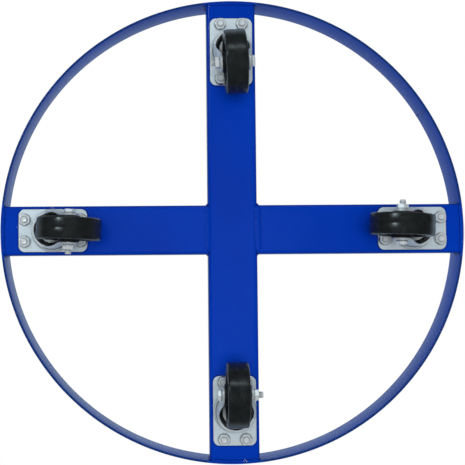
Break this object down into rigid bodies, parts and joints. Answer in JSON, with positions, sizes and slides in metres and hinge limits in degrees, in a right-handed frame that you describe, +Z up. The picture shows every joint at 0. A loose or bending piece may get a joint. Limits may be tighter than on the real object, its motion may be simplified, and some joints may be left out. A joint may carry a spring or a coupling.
{
  "type": "drum trolley",
  "caption": "Round drum trolley: a blue steel ring with a cross of channel bars inside it, on zinc-plated swivel castors with black wheels, for rolling a drum about.",
  "frame": {"origin": "on the floor under the ring's centre, at the lowest point of the four wheels", "axes": "+Z up; Y along the long bar, X along the short bars; at rest each wheel trails within 3 degrees of straight towards the middle"},
  "size_m": [0.6, 0.6, 0.153],
  "materials": {
    "frame_paint": "blue powder coat, semi-gloss",
    "castor_zinc": "bright zinc plate on pressed sheet",
    "fastener_zinc": "bright zinc plate on turned and headed steel",
    "bearing_steel": "polished balls",
    "wheel_plastic": "black moulded polypropylene",
    "tyre_rubber": "black solid rubber, satin"
  },
  "bodies": {
    "frame": {"ring": "frame_paint", "long_bar": "frame_paint", "left_short_bar": "frame_paint", "right_short_bar": "frame_paint", "frame_welds": "frame_paint", "mounting_bolts": "fastener_zinc", "mounting_nuts": "fastener_zinc", "right_top_plate": "castor_zinc", "right_kingpin": "fastener_zinc", "right_race_cup": "castor_zinc", "rear_top_plate": "castor_zinc", "rear_kingpin": "fastener_zinc", "rear_race_cup": "castor_zinc", "left_top_plate": "castor_zinc", "left_kingpin": "fastener_zinc", "left_race_cup": "castor_zinc", "front_top_plate": "castor_zinc", "front_kingpin": "fastener_zinc", "front_race_cup": "castor_zinc"},
    "right_swivel": {"right_fork": "castor_zinc", "right_axle_bolt": "fastener_zinc", "right_axle_nut": "fastener_zinc", "right_axle_tube": "castor_zinc", "right_upper_balls": "bearing_steel", "right_lower_balls": "bearing_steel"},
    "right_wheel": {"right_wheel_core": "wheel_plastic", "right_tyre": "tyre_rubber"},
    "rear_swivel": {"rear_fork": "castor_zinc", "rear_axle_bolt": "fastener_zinc", "rear_axle_nut": "fastener_zinc", "rear_axle_tube": "castor_zinc", "rear_upper_balls": "bearing_steel", "rear_lower_balls": "bearing_steel"},
    "rear_wheel": {"rear_wheel_core": "wheel_plastic", "rear_tyre": "tyre_rubber"},
    "left_swivel": {"left_fork": "castor_zinc", "left_axle_bolt": "fastener_zinc", "left_axle_nut": "fastener_zinc", "left_axle_tube": "castor_zinc", "left_upper_balls": "bearing_steel", "left_lower_balls": "bearing_steel"},
    "left_wheel": {"left_wheel_core": "wheel_plastic", "left_tyre": "tyre_rubber"},
    "front_swivel": {"front_fork": "castor_zinc", "front_axle_bolt": "fastener_zinc", "front_axle_nut": "fastener_zinc", "front_axle_tube": "castor_zinc", "front_upper_balls": "bearing_steel", "front_lower_balls": "bearing_steel"},
    "front_wheel": {"front_wheel_core": "wheel_plastic", "front_tyre": "tyre_rubber"}
  },
  "joints": [
    {"name": "right_swivel_turn", "type": "hinge", "parent": "frame", "child": "right_swivel", "pos_m": [0.23179, 0, 0.09], "axis": [0, 0, 1], "continuous": true},
    {"name": "right_wheel_spin", "type": "hinge", "parent": "right_swivel", "child": "right_wheel", "pos_m": [0.20482, -0.00118, 0.04], "axis": [-0.0436, 0.999, 0], "continuous": true},
    {"name": "rear_swivel_turn", "type": "hinge", "parent": "frame", "child": "rear_swivel", "pos_m": [0, 0.23179, 0.09], "axis": [0, 0, 1], "continuous": true},
    {"name": "rear_wheel_spin", "type": "hinge", "parent": "rear_swivel", "child": "rear_wheel", "pos_m": [0, 0.20479, 0.04], "axis": [-1, 0, 0], "continuous": true},
    {"name": "left_swivel_turn", "type": "hinge", "parent": "frame", "child": "left_swivel", "pos_m": [-0.23179, 0, 0.09], "axis": [0, 0, 1], "continuous": true},
    {"name": "left_wheel_spin", "type": "hinge", "parent": "left_swivel", "child": "left_wheel", "pos_m": [-0.20482, 0.00118, 0.04], "axis": [0.0436, -0.999, 0], "continuous": true},
    {"name": "front_swivel_turn", "type": "hinge", "parent": "frame", "child": "front_swivel", "pos_m": [0, -0.23179, 0.09], "axis": [0, 0, 1], "continuous": true},
    {"name": "front_wheel_spin", "type": "hinge", "parent": "front_swivel", "child": "front_wheel", "pos_m": [0.00141, -0.20483, 0.04], "axis": [0.9986, -0.0523, 0], "continuous": true}
  ]
}
